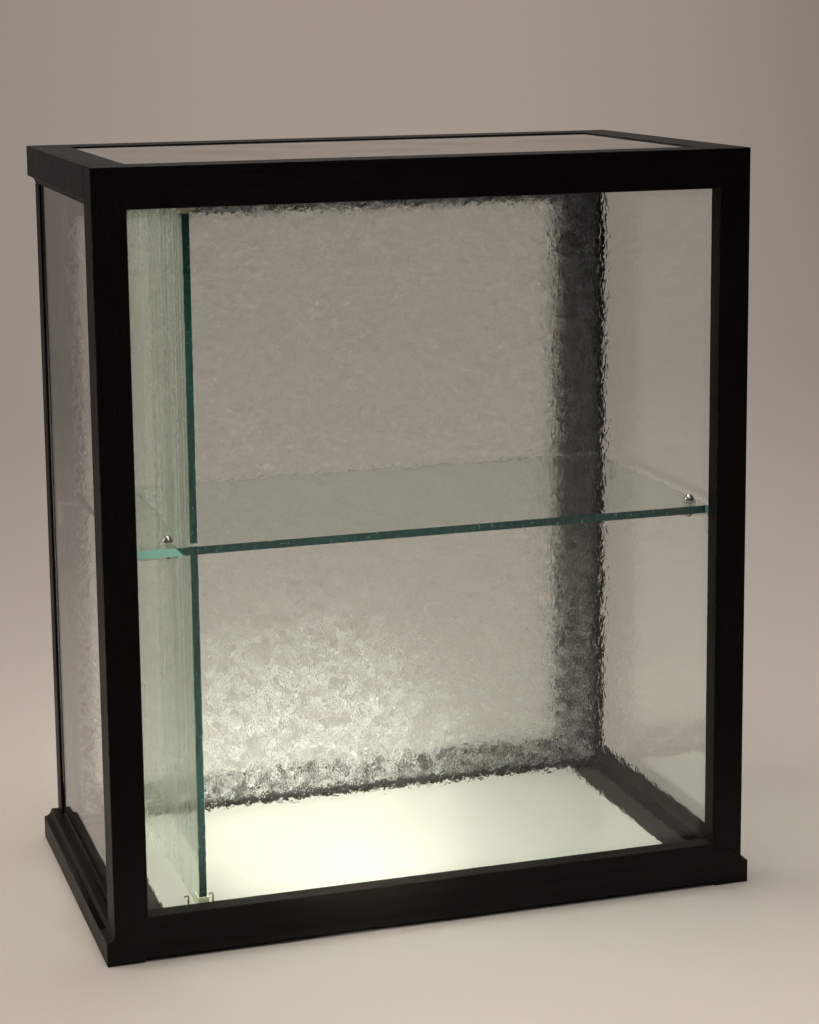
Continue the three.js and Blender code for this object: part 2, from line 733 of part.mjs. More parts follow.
// pocket in the hinge stile's edge for a hinge's door leaf
function doorMortise(z) {
  return block(
    [hingeX - LEAF_CLEARANCE - LEAF_THICKNESS, doorRightX + REACH],
    [CASE_DEPTH - LEAF_WIDTH - LEAF_CLEARANCE, doorRearY + REACH],
    [z - LEAF_CLEARANCE, z + HINGE_HEIGHT + LEAF_CLEARANCE],
  );
}

const inset = ([low, high], by) => [low + by, high - by];

function rearGlass() {
  const edge = GASKET_WALL + FIT;
  const front = doorFrontY + edge;
  return block(
    inset([doorLeftX, doorRightX], edge),
    [front, front + PANE_THICKNESS],
    inset([doorBottom, doorTop], edge),
  );
}

// a U-channel all round the pane's edge
function rearGlassGasket() {
  const across = [doorLeftX, doorRightX];
  const upright = [doorBottom, doorTop];
  const depth = [doorFrontY, doorFrontY + gasketDepth];
  return cut(
    block(across, depth, upright),
    block(inset(across, GASKET_WALL), inset(depth, GASKET_WALL), inset(upright, GASKET_WALL)),
    block(inset(across, GASKET_LAP), inset(depth, -REACH), inset(upright, GASKET_LAP)),
  );
}

function doorKnob() {
  const baseRadius = KNOB_BASE_DIAMETER / 2;
  const neckRadius = KNOB_NECK_DIAMETER / 2;
  const headRadius = KNOB_DIAMETER / 2;
  const headDepth = KNOB_REACH / 2;
  const profile = [[0, FIT], [baseRadius, FIT], [baseRadius, KNOB_REACH / 8]];
  profile.push([neckRadius, KNOB_REACH / 4], [neckRadius, KNOB_REACH - headDepth]);
  for (let step = 1; step <= COVE_SEGMENTS; step += 1) {
    const angle = (step / COVE_SEGMENTS) * Math.PI - Math.PI / 2;
    const radius = step === COVE_SEGMENTS ? 0 : neckRadius + (headRadius - neckRadius) * Math.cos(angle);
    profile.push([radius, KNOB_REACH - (headDepth / 2) * (1 - Math.sin(angle))]);
  }
  const geometry = new THREE.LatheGeometry(
    profile.map(([radius, reach]) => new THREE.Vector2(radius, reach)),
    ROUND_SEGMENTS,
  );
  geometry.translate((doorLeftX + closingInnerX) / 2, doorRearY, (doorBottom + doorTop) / 2);
  return toSolid(geometry);
}

const doorHingeStile = cut(
  doorStile(doorRightX, hingeInnerX),
  ...Object.values(hingePlaces).map(doorMortise),
);
piece('door_hinge_stile', doorHingeStile, blackTimber);
piece('door_closing_stile', doorStile(doorLeftX, closingInnerX), blackTimber);
piece('door_top_rail', doorRail(doorTop, doorTop - DOOR_TOP_RAIL_HEIGHT), blackTimber);
piece('door_bottom_rail', doorRail(doorBottom, doorBottom + DOOR_BOTTOM_RAIL_HEIGHT), blackTimber);
piece('rear_glass', rearGlass(), rippledGlass);
piece('rear_glass_gasket', rearGlassGasket(), blackRubber);
piece('door_knob', doorKnob(), darkSteel);

// ---------------------------------------------------------------- hinges
// owner is 1 for the leaf on the case, which has the odd knuckles, and -1 for the leaf on the door
function hingeLeaf(z, owner) {
  const nearX = hingeX + owner * (LEAF_CLEARANCE / 2);
  const farX = nearX + owner * LEAF_THICKNESS;
  const leafX = [Math.min(nearX, farX), Math.max(nearX, farX)];
  const knuckleHeight = HINGE_HEIGHT / KNUCKLE_COUNT;
  const parts = [
    block(leafX, [CASE_DEPTH - LEAF_WIDTH, CASE_DEPTH], [z, z + HINGE_HEIGHT]),
  ];
  for (let k = 0; k < KNUCKLE_COUNT; k += 1) {
    if ((k % 2 === 0) === (owner === 1)) {
      const span = inset([z + k * knuckleHeight, z + (k + 1) * knuckleHeight], LEAF_CLEARANCE / 2);
      parts.push(cylinder(KNUCKLE_DIAMETER, hingeX, hingeY, ...span, SMALL_SEGMENTS));
      parts.push(block(leafX, [CASE_DEPTH - REACH, hingeY], span));
    }
  }
  const bore = cylinder(PIN_DIAMETER + 2 * LEAF_CLEARANCE, hingeX, hingeY, z - REACH, z + HINGE_HEIGHT + REACH);
  return cut(join(...parts), bore);
}

function hingePin(z) {
  const shank = PIN_DIAMETER / 2;
  const head = PIN_HEAD_DIAMETER / 2;
  const low = z - FIT;
  const high = z + HINGE_HEIGHT + FIT;
  const profile = [
    [0, low - PIN_HEAD_HEIGHT],
    [head / 2, low - PIN_HEAD_HEIGHT],
    [head, low - PIN_HEAD_HEIGHT / 2],
    [head, low],
    [shank, low],
    [shank, high],
    [head, high],
    [head, high + PIN_HEAD_HEIGHT / 2],
    [head / 2, high + PIN_HEAD_HEIGHT],
    [0, high + PIN_HEAD_HEIGHT],
  ];
  return turned(profile, hingeX, hingeY, SMALL_SEGMENTS);
}

for (const [place, z] of Object.entries(hingePlaces)) {
  piece(`${place}_hinge_case_leaf`, hingeLeaf(z, 1), brass);
  piece(`${place}_hinge_door_leaf`, hingeLeaf(z, -1), brass);
  piece(`${place}_hinge_pin`, hingePin(z), brass);
}

// ---------------------------------------------------------------- catch
const catchX = dividerX + CATCH_TO_DIVIDER;
const strikeFrontY = doorFrontY;
const strikeTop = doorTop - GASKET_LAP - FIT;

function catchBody() {
  const rear = strikeFrontY - FIT;
  return block(
    [catchX - CATCH_LENGTH / 2, catchX + CATCH_LENGTH / 2],
    [rear - CATCH_DEPTH, rear],
    [ceiling - FIT - CATCH_HEIGHT, ceiling - FIT],
  );
}

function strikePlate() {
  return block(
    [catchX - STRIKE_LENGTH / 2, catchX + STRIKE_LENGTH / 2],
    [strikeFrontY, strikeFrontY + STRIKE_THICKNESS],
    [strikeTop - STRIKE_HEIGHT, strikeTop],
  );
}

piece('catch_body', catchBody(), blackPlastic);
piece('catch_strike_plate', strikePlate(), chrome);

// the origin lies under the middle of everything, on the table
const rearmost = doorRearY + KNOB_REACH;
frontOrigin.position.y = -rearmost / 2;

export default displayCase;
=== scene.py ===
"""The table-top display case, dressed: timber with eased arrises, glass with green edges, a rippled
rear pane, fittings, and a plain studio.

Lengths are in metres in the row frame: x to the right, y to the back, z up from the table.
"""

import json
import math

import bmesh
import bpy
import numpy as np
from mathutils import Matrix, Vector
from mathutils.bvhtree import BVHTree


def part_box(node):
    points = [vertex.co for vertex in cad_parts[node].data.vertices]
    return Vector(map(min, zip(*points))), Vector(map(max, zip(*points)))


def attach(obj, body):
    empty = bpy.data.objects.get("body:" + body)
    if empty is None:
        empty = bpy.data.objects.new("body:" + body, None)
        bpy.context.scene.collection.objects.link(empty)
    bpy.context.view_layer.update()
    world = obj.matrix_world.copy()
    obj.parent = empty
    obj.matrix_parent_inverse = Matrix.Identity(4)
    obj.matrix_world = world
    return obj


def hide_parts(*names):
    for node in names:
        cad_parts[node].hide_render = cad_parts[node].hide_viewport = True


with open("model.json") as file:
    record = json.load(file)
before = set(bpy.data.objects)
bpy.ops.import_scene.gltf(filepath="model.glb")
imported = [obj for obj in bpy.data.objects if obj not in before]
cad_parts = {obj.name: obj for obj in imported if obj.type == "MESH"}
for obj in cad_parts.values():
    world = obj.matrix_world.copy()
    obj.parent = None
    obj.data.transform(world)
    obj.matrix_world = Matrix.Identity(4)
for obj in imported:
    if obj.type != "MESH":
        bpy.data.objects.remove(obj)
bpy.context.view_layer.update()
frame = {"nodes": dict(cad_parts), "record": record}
nodes = frame["nodes"]
body_of = {n: body for body, members in frame["record"]["behaviour"]["bodies"].items() for n in members}
scene = bpy.context.scene

MM = 0.001
GLASS_IOR = 1.52
FRONT_IOR = 1.36  # the front pane mirrors little of the room, so that the inside shows
BRACKET_IOR = 1.22  # and the clear brackets hardly show
ROLLED = ("rear_glass", "front_glass")  # the panes with wrinkles in their mesh


# ---------------------------------------------------------------- materials
class Paint:
    """One material. fixed sets the shader's own sockets, such as Roughness=0.3 or Coat_Weight=0.2."""

    def __init__(self, name, **fixed):
        self.material = bpy.data.materials.new(name)
        self.material.use_nodes = True
        self.tree = self.material.node_tree
        self.shader = self.tree.nodes["Principled BSDF"]
        self.output = self.tree.nodes["Material Output"]
        for key, value in fixed.items():
            self.shader.inputs[key.replace("_", " ")].default_value = value

    def node(self, kind, inputs=None, **settings):
        made = self.tree.nodes.new(kind)
        for key, value in settings.items():
            setattr(made, key, value)
        for key, value in (inputs or {}).items():
            if isinstance(value, bpy.types.NodeSocket):
                self.tree.links.new(value, made.inputs[key])
            else:
                made.inputs[key].default_value = value
        return made

    def link(self, socket, name):
        self.tree.links.new(socket, self.shader.inputs[name])
        return self

    def place(self, stretch=(1, 1, 1), turn=(0, 0, 0)):
        """The point on the piece, in metres, turned, then times stretch."""
        point = self.node("ShaderNodeTexCoord").outputs["Object"]
        if any(turn):
            point = self.node("ShaderNodeMapping", {"Vector": point, "Rotation": turn}).outputs[0]
        return self.node("ShaderNodeMapping", {"Vector": point, "Scale": stretch}).outputs[0]

    def split(self):
        """The three coordinates of the point on the piece."""
        return self.node("ShaderNodeSeparateXYZ", {0: self.place()}).outputs

    def noise(self, place, scale, detail=2, rough=0.5, bend=0.0, kind="FBM"):
        return self.node(
            "ShaderNodeTexNoise",
            {"Vector": place, "Scale": scale, "Detail": detail, "Roughness": rough, "Distortion": bend},
            noise_type=kind,
        ).outputs[0]

    def fit(self, value, low, high, to_low=0.0, to_high=1.0):
        """value, from low…high to to_low…to_high, and no further."""
        return self.node(
            "ShaderNodeMapRange",
            {"Value": value, "From Min": low, "From Max": high, "To Min": to_low, "To Max": to_high},
        ).outputs[0]

    def math(self, operation, a, b):
        return self.node("ShaderNodeMath", {0: a, 1: b}, operation=operation).outputs[0]

    def ramp(self, value, *stops):
        """A colour from (position, colour) stops."""
        made = self.node("ShaderNodeValToRGB", {"Fac": value})
        band = made.color_ramp
        while len(band.elements) < len(stops):
            band.elements.new(0.5)
        for element, (position, colour) in zip(band.elements, stops):
            element.position = position
            element.color = (*colour, 1)
        return made.outputs[0]

    def mix(self, share, a, b):
        """Colour a where share is 0, b where it is 1."""
        made = self.node("ShaderNodeMix", data_type="RGBA")
        for index, value in ((0, share), (6, a), (7, b)):
            if isinstance(value, bpy.types.NodeSocket):
                self.tree.links.new(value, made.inputs[index])
            else:
                made.inputs[index].default_value = value if index == 0 else (*value, 1)
        return made.outputs[2]

    def bump(self, *layers):
        """Layers of (height socket, depth in metres)."""
        normal = None
        for height, depth in layers:
            inputs = {"Height": height, "Distance": depth, "Strength": 1.0}
            if normal is not None:
                inputs["Normal"] = normal
            normal = self.node("ShaderNodeBump", inputs).outputs[0]
        return self.link(normal, "Normal")

    def on_eased_arris(self):
        """1 on the eased arrises of a piece."""
        return self.node("ShaderNodeAttribute", attribute_name="arris").outputs["Fac"]

    def lets_lamps_through(self, tint=(1, 1, 1)):
        """Glass that lamps shine through, as thin flat glass does."""
        path = self.node("ShaderNodeLightPath").outputs["Is Shadow Ray"]
        clear = self.node("ShaderNodeBsdfTransparent", {"Color": (*tint, 1)}).outputs[0]
        both = self.node("ShaderNodeMixShader", {0: path, 1: self.shader.outputs[0], 2: clear}).outputs[0]
        self.tree.links.new(both, self.output.inputs["Surface"])
        return self

    def frost(self, share, colour, from_behind=0.35):
        """Mixes a matt colour, lit from both sides, into the finished glass by share."""
        surface = self.output.inputs["Surface"]
        kinds = ("ShaderNodeBsdfDiffuse", "ShaderNodeBsdfTranslucent")
        near, far = (self.node(kind, {"Color": (*colour, 1)}).outputs[0] for kind in kinds)
        matt = self.node("ShaderNodeMixShader", {0: from_behind, 1: near, 2: far}).outputs[0]
        both = self.node("ShaderNodeMixShader", {0: share, 1: surface.links[0].from_socket, 2: matt}).outputs[0]
        self.tree.links.new(both, surface)
        return self


def timber(name, along):
    """Near-black satin paint over fine grain that runs along axis 0, 1 or 2, painted paler low down as painted
    light bounced from the table.
    """
    p = Paint(name, IOR=1.45, Specular_IOR_Level=0.09)
    stretch = [1.0, 1.0, 1.0]
    stretch[along] = 0.045
    grain_place = p.place(stretch)
    grain = p.noise(grain_place, 900, detail=4, rough=0.62, bend=0.15)
    wide = p.noise(grain_place, 130, detail=3, rough=0.5, bend=0.4)
    cloud = p.noise(p.place(), 22, detail=3)
    stipple = p.noise(p.place(), 1500, detail=1)
    base = p.ramp(cloud, (0.3, (0.0017, 0.0013, 0.0010)), (0.7, (0.0034, 0.0026, 0.0020)))
    base = p.mix(p.fit(grain, 0.45, 0.75, 0, 0.5), base, (0.0085, 0.0066, 0.0050))
    # Painted light: paler towards the bottom, in patches, for light bounced up from the table.
    painted_low_light = p.fit(p.split()[2], 0.0, 0.13, 1.0, 0.0)
    dust = p.math("MULTIPLY", painted_low_light, p.fit(wide, 0.3, 0.7, 0.45, 1.0))
    base = p.mix(dust, base, (0.0170, 0.0145, 0.0112))
    # Paler on the eased arrises, in patches: paint scuffed away, and a painted highlight along the edges.
    patches = p.fit(p.noise(p.place(), 160, detail=3), 0.42, 0.66, 0.1, 0.8)
    rubbed_and_highlit = p.math("MULTIPLY", p.on_eased_arris(), patches)
    p.link(p.mix(rubbed_and_highlit, base, (0.036, 0.030, 0.025)), "Base Color")
    p.link(p.fit(p.math("ADD", cloud, grain), 0.6, 1.4, 0.36, 0.52), "Roughness")
    return p.bump((grain, 0.00006), (wide, 0.00008), (stipple, 0.00002)).material


def board():
    """Dark fibreboard, its fibres drawn along x."""
    p = Paint("base_board", Specular_IOR_Level=0.25)
    fibre = p.noise(p.place((0.25, 1, 1)), 420, detail=5, rough=0.7, bend=0.8)
    cloud = p.noise(p.place(), 14, detail=3)
    p.link(p.mix(p.fit(fibre, 0.42, 0.7), (0.014, 0.0115, 0.0095), (0.040, 0.033, 0.027)), "Base Color")
    p.link(p.fit(cloud, 0.3, 0.7, 0.55, 0.75), "Roughness")
    return p.bump((fibre, 0.00012)).material


FLOAT_TINT = ((0.950, 0.975, 0.962), (0.965, 0.985, 0.974))


def pane(name, tint=FLOAT_TINT, wave=0.00012, grain=0.0, ior=GLASS_IOR):
    """Float glass: clear, very slightly green, faintly wavy, with a breath of dust.

    wave and grain are the depths of its broad waves and of its fine rolling marks.
    """
    p = Paint(name, IOR=ior, Transmission_Weight=1.0)
    cloud = p.noise(p.place(), 9, detail=4, rough=0.6)
    dust = p.noise(p.place(), 750, detail=3, rough=0.7)
    p.link(p.ramp(cloud, (0.3, tint[0]), (0.7, tint[1])), "Base Color")
    smear = p.math("MULTIPLY", p.fit(cloud, 0.45, 0.75), p.fit(dust, 0.5, 0.72))
    p.link(p.fit(smear, 0, 1, 0.0, 0.09), "Roughness")
    layers = [(p.noise(p.place(), 11, detail=1), wave)]
    if grain:
        layers.append((p.noise(p.place((1, 1, 0.6)), 300, detail=2, bend=0.8), grain))
    return p.bump(*layers).lets_lamps_through((0.93, 0.95, 0.94)).material


def streaked_pane():
    """The divider's glass, drawn in fine upright streaks, some of them a little frosted."""
    p = Paint("streaked_glass", IOR=GLASS_IOR, Transmission_Weight=1.0)
    streak = p.noise(p.place((1, 1, 0.012)), 420, detail=4, rough=0.65)
    broad = p.noise(p.place((1, 1, 0.03)), 95, detail=2)
    both = p.math("ADD", streak, broad)
    tint = p.ramp(p.fit(both, 0.75, 1.25), (0.0, (0.850, 0.905, 0.865)), (1.0, (0.935, 0.965, 0.945)))
    p.link(tint, "Base Color")
    p.link(p.fit(both, 0.8, 1.2, 0.01, 0.10), "Roughness")
    p.bump((streak, 0.00002), (broad, 0.00004)).lets_lamps_through((0.90, 0.94, 0.92))
    lines = p.fit(p.noise(p.place((1, 1, 0.006)), 170, detail=3, rough=0.7), 0.50, 0.60)
    return p.frost(p.fit(lines, 0, 1, 0.10, 0.42), (0.72, 0.79, 0.67)).material


def rippled_pane():
    """Fine wrinkles over the large ones, which are in the mesh. Their crests are a little frosted."""
    p = Paint("rippled_glass", IOR=GLASS_IOR, Transmission_Weight=1.0)

    def veins(lean, scale, width):
        """Thin broken lines that lean one way."""
        place = p.place((1, 1, 0.55), (0, lean, 0))
        middle = p.math("SUBTRACT", p.noise(place, scale, detail=2, bend=0.7), 0.5)
        apart = p.math("ABSOLUTE", middle, 0.0)
        breaks = p.fit(p.noise(place, scale * 0.7, detail=1), 0.40, 0.56)
        return p.math("MULTIPLY", p.fit(apart, 0.0, width, 1.0, 0.0), breaks)

    crests = p.math("MAXIMUM", veins(0.75, 170, 0.062), veins(-0.55, 205, 0.058))
    crests = p.math("MAXIMUM", crests, veins(0.15, 250, 0.060))
    leaning = p.place((1, 1, 0.6), (0, 0.3, 0))
    swell = p.noise(leaning, 230, detail=1, bend=1.2, kind="RIDGED_MULTIFRACTAL")
    # Painted shade and light: the tint is dimmer in the wrinkles' hollows and paler on their crests, for light
    # bent by the wrinkles.
    tint = p.ramp(
        p.fit(swell, 0.3, 1.5),
        (0.0, (0.80, 0.815, 0.790)), (0.5, (0.935, 0.950, 0.930)), (1.0, (0.985, 0.990, 0.980)),
    )
    p.link(p.mix(p.math("MULTIPLY", crests, 0.5), tint, (1.0, 1.0, 0.99)), "Base Color")
    p.link(p.fit(crests, 0, 1, 0.01, 0.05), "Roughness")
    p.bump((swell, 0.00070), (crests, 0.00060)).lets_lamps_through((0.9, 0.92, 0.9))
    fading = p.fit(p.split()[2], 0.05, 0.24, 0.70, 0.12)
    share = p.math("MULTIPLY", p.fit(crests, 0, 1, 0.04, 1.0), fading)
    return p.frost(share, (0.84, 0.84, 0.79)).material


def green_edge(name, painted_light_where=None):
    """A polished edge, seen along the length of the pane: deep bottle green.

    Where its second argument gives 1, the edge is painted pale: painted light.
    """
    p = Paint(name, IOR=GLASS_IOR, Specular_IOR_Level=0.25)
    fine = p.noise(p.place((1, 1, 0.2)), 300, detail=4, rough=0.6)
    cloud = p.noise(p.place(), 35, detail=3)
    green = p.ramp(
        fine,
        (0.30, (0.0020, 0.020, 0.017)), (0.55, (0.0055, 0.052, 0.044)), (0.75, (0.016, 0.105, 0.086)),
    )
    green = p.mix(p.fit(cloud, 0.35, 0.75, 0, 0.6), green, (0.008, 0.078, 0.066))
    # Paler green in small random nicks, and along the eased arrises as a painted highlight.
    chips_and_arris_highlight = p.fit(p.noise(p.place(), 520, detail=2), 0.64, 0.72, 0, 0.7)
    chips_and_arris_highlight = p.math("MAXIMUM", p.math("MULTIPLY", p.on_eased_arris(), 0.6), chips_and_arris_highlight)
    green = p.mix(chips_and_arris_highlight, green, (0.20, 0.40, 0.32))
    # Painted light: the edge is painted pale where it catches the light.
    if painted_light_where is not None:
        green = p.mix(painted_light_where(p), green, (0.30, 0.66, 0.54))
    p.link(green, "Base Color")
    p.link(p.fit(fine, 0.3, 0.7, 0.06, 0.2), "Roughness")
    return p.bump((fine, 0.00002)).material


def shelf_painted_light(p):
    """The shelf's left end, beyond the divider, and a sliver of its right end: painted pale, as painted light
    where they catch the light.
    """
    x, _, z = p.split()
    slant = 0.1100  # x + z at the end of the lit part, which ends in a slanting line
    left = p.fit(p.math("ADD", x, z), slant - 1 * MM, slant + 1 * MM, 1.0, 0.0)
    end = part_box("shelf_glass")[1].x
    return p.math("MAXIMUM", left, p.fit(x, end - 2.6 * MM, end - 2.2 * MM))


def laminate():
    """Off-white laminate with fine specks and long faint scuffs."""
    p = Paint("white_panel", IOR=1.5, Coat_Weight=0.35)
    cloud = p.noise(p.place(), 8, detail=4)
    speck = p.noise(p.place(), 1300, detail=2)
    scuff = p.noise(p.place((1, 0.06, 1), (0, 0, 0.5)), 340, detail=4, rough=0.7)
    white = p.ramp(cloud, (0.3, (0.505, 0.492, 0.430)), (0.7, (0.545, 0.530, 0.466)))
    p.link(p.mix(p.fit(speck, 0.62, 0.78, 0, 0.35), white, (0.39, 0.38, 0.32)), "Base Color")
    p.link(p.fit(scuff, 0.4, 0.75, 0.13, 0.30), "Roughness")
    return p.bump((speck, 0.00001), (p.noise(p.place(), 60, detail=2), 0.00005)).material


def metal(name, dark, light, scale, low, high):
    """Metal between two colours, with fine pits. low and high bound its roughness."""
    p = Paint(name, Metallic=1.0)
    fine = p.noise(p.place(), scale, detail=4, rough=0.65)
    cloud = p.noise(p.place(), 70, detail=3)
    colour = p.mix(p.fit(cloud, 0.35, 0.7), dark, light)
    p.link(p.mix(p.fit(fine, 0.55, 0.8, 0, 0.4), colour, [c * 0.45 for c in dark]), "Base Color")
    p.link(p.fit(p.math("ADD", fine, cloud), 0.7, 1.35, low, high), "Roughness")
    return p.bump((fine, 0.00001)).material


def plastic(name, dark, light, low, high, scale=900, depth=0.00002, **fixed):
    """Plastic or rubber between two colours, grained. low and high bound its roughness."""
    p = Paint(name, **fixed)
    fine = p.noise(p.place(), scale, detail=3, rough=0.6)
    cloud = p.noise(p.place(), 60, detail=3)
    p.link(p.mix(p.fit(cloud, 0.35, 0.7), dark, light), "Base Color")
    p.link(p.fit(fine, 0.35, 0.7, low, high), "Roughness")
    return p.bump((fine, depth)).material


def acrylic():
    """The brackets' clear plastic, a little cloudy."""
    p = Paint("clear_plastic", IOR=BRACKET_IOR, Transmission_Weight=1.0)
    cloud = p.noise(p.place(), 120, detail=3)
    p.link(p.ramp(cloud, (0.3, (0.93, 0.955, 0.94)), (0.7, (0.965, 0.98, 0.97))), "Base Color")
    p.link(p.fit(p.noise(p.place(), 800, detail=3), 0.4, 0.8, 0.02, 0.16), "Roughness")
    return p.bump((cloud, 0.00002)).lets_lamps_through((0.9, 0.93, 0.91)).material


CREAM = ((0.66, 0.60, 0.42), (0.74, 0.69, 0.50))
PALE_GREEN = ((0.64, 0.64, 0.44), (0.74, 0.74, 0.53))
RUBBER_BLACK = ((0.016, 0.0155, 0.015), (0.026, 0.025, 0.024))
SHELF_TINT = ((0.905, 0.958, 0.928), (0.930, 0.972, 0.948))

timbers = [timber(f"frame_timber_{axis}", index) for index, axis in enumerate("xyz")]
looks = {
    "base_board": board(),
    "clear_glass": pane("clear_glass"),
    "front_glass": pane("front_glass", wave=0.00004, ior=FRONT_IOR),
    "green_edge_glass": pane("green_edge_glass", SHELF_TINT, 0.00006),
    "white_panel": laminate(),
    "clear_plastic": acrylic(),
    "cream_nylon": plastic("cream_nylon", *CREAM, 0.35, 0.55, Subsurface_Weight=0.1),
    "pale_clip": plastic("pale_clip", *PALE_GREEN, 0.3, 0.5, Subsurface_Weight=0.1),
    "washer_nylon": plastic("washer_nylon", (0.25, 0.26, 0.22), (0.33, 0.34, 0.29), 0.3, 0.5),
    "screw_chrome": metal("screw_chrome", (0.40, 0.38, 0.35), (0.58, 0.56, 0.53), 1400, 0.10, 0.24),
    "brass_fitting": metal("brass_fitting", (0.46, 0.36, 0.15), (0.60, 0.48, 0.24), 900, 0.24, 0.46),
    "knob_metal": metal("knob_metal", (0.24, 0.23, 0.22), (0.32, 0.31, 0.295), 1200, 0.28, 0.44),
    "black_rubber": plastic("black_rubber", *RUBBER_BLACK, 0.6, 0.8, 1300, 0.00004),
    "black_plastic": plastic("black_plastic", (0.020, 0.020, 0.020), (0.032, 0.031, 0.030), 0.38, 0.55),
}
streaks = streaked_pane()
ripples = rippled_pane()
slight_ripples = pane("slightly_rippled_glass", wave=0.00004, grain=0.00015, ior=FRONT_IOR)
divider_edge = green_edge("divider_edge")
shelf_edge = green_edge("shelf_edge", shelf_painted_light)


# ---------------------------------------------------------------- pieces
def flat_parts(mesh_data):
    """The node's mesh with its corners joined and its flat faces whole."""
    bm = bmesh.new()
    bm.from_mesh(mesh_data)
    bmesh.ops.remove_doubles(bm, verts=bm.verts, dist=2e-6)
    bmesh.ops.dissolve_limit(bm, angle_limit=math.radians(0.4), verts=bm.verts, edges=bm.edges)
    return bm


def stand_in(node, data, finish, even_normals):
    """Puts a mesh in the node's place, on the node's body, with its list of materials."""
    for material in finish:
        data.materials.append(material)
    piece = bpy.data.objects.new(data.name, data)
    scene.collection.objects.link(piece)
    if even_normals:
        piece.modifiers.new("even_normals", "WEIGHTED_NORMAL").keep_sharp = True
    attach(piece, body_of[node])
    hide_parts(node)


def surface_tree(mesh_data):
    corners = [v.co for v in mesh_data.vertices]
    return BVHTree.FromPolygons(corners, [face.vertices for face in mesh_data.polygons])


slot_of = {n: o.data.materials[0].name.split(".")[0] for n, o in nodes.items()}
timber_trees = {n: surface_tree(o.data) for n, o in nodes.items() if slot_of[n] == "frame_timber"}
TOUCHING = 0.45 * MM  # more than the gap between two timbers at a joint
ALONG_EDGE = (0.08, 0.5, 0.92)


def is_joint(node, edge):
    """Whether the edge lies all along against another piece of timber."""
    a, b = (v.co for v in edge.verts)
    others = [tree for n, tree in timber_trees.items() if n != node]
    return all(
        any(tree.find_nearest(a.lerp(b, share), TOUCHING)[0] for tree in others) for share in ALONG_EDGE
    )


def dress(node, finish, arris=0.25, segments=2, angle=32, edge_face=None):
    """Replaces a node by a copy whose arrises are eased by arris millimetres, save at joints.

    Arrises are the edges sharper than angle. With two materials in finish, the second one goes on
    the faces for which edge_face is true.
    """
    bm = flat_parts(nodes[node].data)
    if edge_face:
        for f in bm.faces:
            f.material_index = int(edge_face(f))
    eased = bm.faces.layers.float.new("arris")
    sharp = [
        e for e in bm.edges
        if e.is_manifold and e.calc_face_angle(0) > math.radians(angle) and not is_joint(node, e)
    ]
    made = bmesh.ops.bevel(
        bm, geom=sharp, offset=arris * MM, offset_type="OFFSET", segments=segments,
        profile=0.5, affect="EDGES", clamp_overlap=True, material=-1,
    )
    for f in made["faces"]:
        f[eased] = 1.0
    for f in bm.faces:
        f.smooth = True
    data = bpy.data.meshes.new(f"{node}_dressed")
    bm.to_mesh(data)
    bm.free()
    data.set_sharp_from_angle(angle=math.radians(40))
    stand_in(node, data, finish, even_normals=True)


def longest(node):
    """The axis along which the node is longest."""
    low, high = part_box(node)
    size = high - low
    return max(range(3), key=lambda k: size[k])


def faces_front(face):
    return face.normal.y < -0.9


def dress_all():
    """Every node but the two rolled panes, each with its own finish."""
    for node, slot in slot_of.items():
        if node in ROLLED:
            continue
        if slot == "frame_timber":
            thin = "bead" in node
            dress(node, [timbers[longest(node)]], 0.35 if thin else 0.6)
        elif node == "shelf_glass":
            dress(node, [looks[slot], shelf_edge], 0.4, 1, edge_face=faces_front)
        elif slot == "green_edge_glass":
            dress(node, [streaks, divider_edge], 0.4, 1, edge_face=faces_front)
        elif slot == "clear_glass":
            dress(node, [looks[slot]], 0.3, 1)
        elif slot in ("brass_fitting", "knob_metal") or node.startswith("shelf_screw"):
            dress(node, [looks[slot]], 0.15, 1, angle=50)
        elif node.startswith("shelf_washer"):
            dress(node, [looks["washer_nylon"]], 0.15, 1, angle=50)
        elif slot == "black_rubber":
            dress(node, [looks[slot]], 0.3)
        else:
            dress(node, [looks[slot]])


def lattice_noise(u, v, seed):
    """Gradient noise over unit cells, about -0.7 to 0.7, the same on each run."""
    period = 128  # cells
    turn = np.random.default_rng(seed).random((period, period)) * 2 * np.pi
    i, j = np.floor(u).astype(int), np.floor(v).astype(int)
    a, b = u - i, v - j

    def corner(di, dj):
        t = turn[(i + di) % period, (j + dj) % period]
        return np.cos(t) * (a - di) + np.sin(t) * (b - dj)

    s, t = (k * k * k * (k * (k * 6 - 15) + 10) for k in (a, b))
    low = corner(0, 0) * (1 - s) + corner(1, 0) * s
    high = corner(0, 1) * (1 - s) + corner(1, 1) * s
    return low * (1 - t) + high * t


def deep_ripple(x, z):
    """The rear pane's wrinkles, 0 to 1, at (x, z) in millimetres."""
    bend = lattice_noise(x / 24, z / 24, 1)
    lean = lattice_noise(x / 24 + 40, z / 24, 2)
    fine = lattice_noise(x / 5.2 + 2.2 * bend, z / 8.5 + 2.2 * lean, 3)
    cross = lattice_noise((x + 0.7 * z) / 7.5 + lean, (z - 0.5 * x) / 11 + bend, 4)
    broad = lattice_noise(x / 15, z / 19, 5)
    crease = 1 - np.abs(fine) * 2.6 + 0.9 * (1 - np.abs(cross) * 2.4) + 0.5 * broad
    return np.clip((crease + 0.6) / 2.6, 0, 1)


def slight_ripple(x, z):
    """The front pane's finer wrinkles."""
    bend = lattice_noise(x / 20, z / 20, 6)
    fine = lattice_noise(x / 3.8 + 1.6 * bend, z / 6.0 - 1.6 * bend, 7)
    cross = lattice_noise((x - 0.6 * z) / 5.0 + bend, (z + 0.4 * x) / 7, 8)
    return np.clip(0.9 - np.abs(fine) * 1.3 - np.abs(cross) * 0.9, 0, 1)


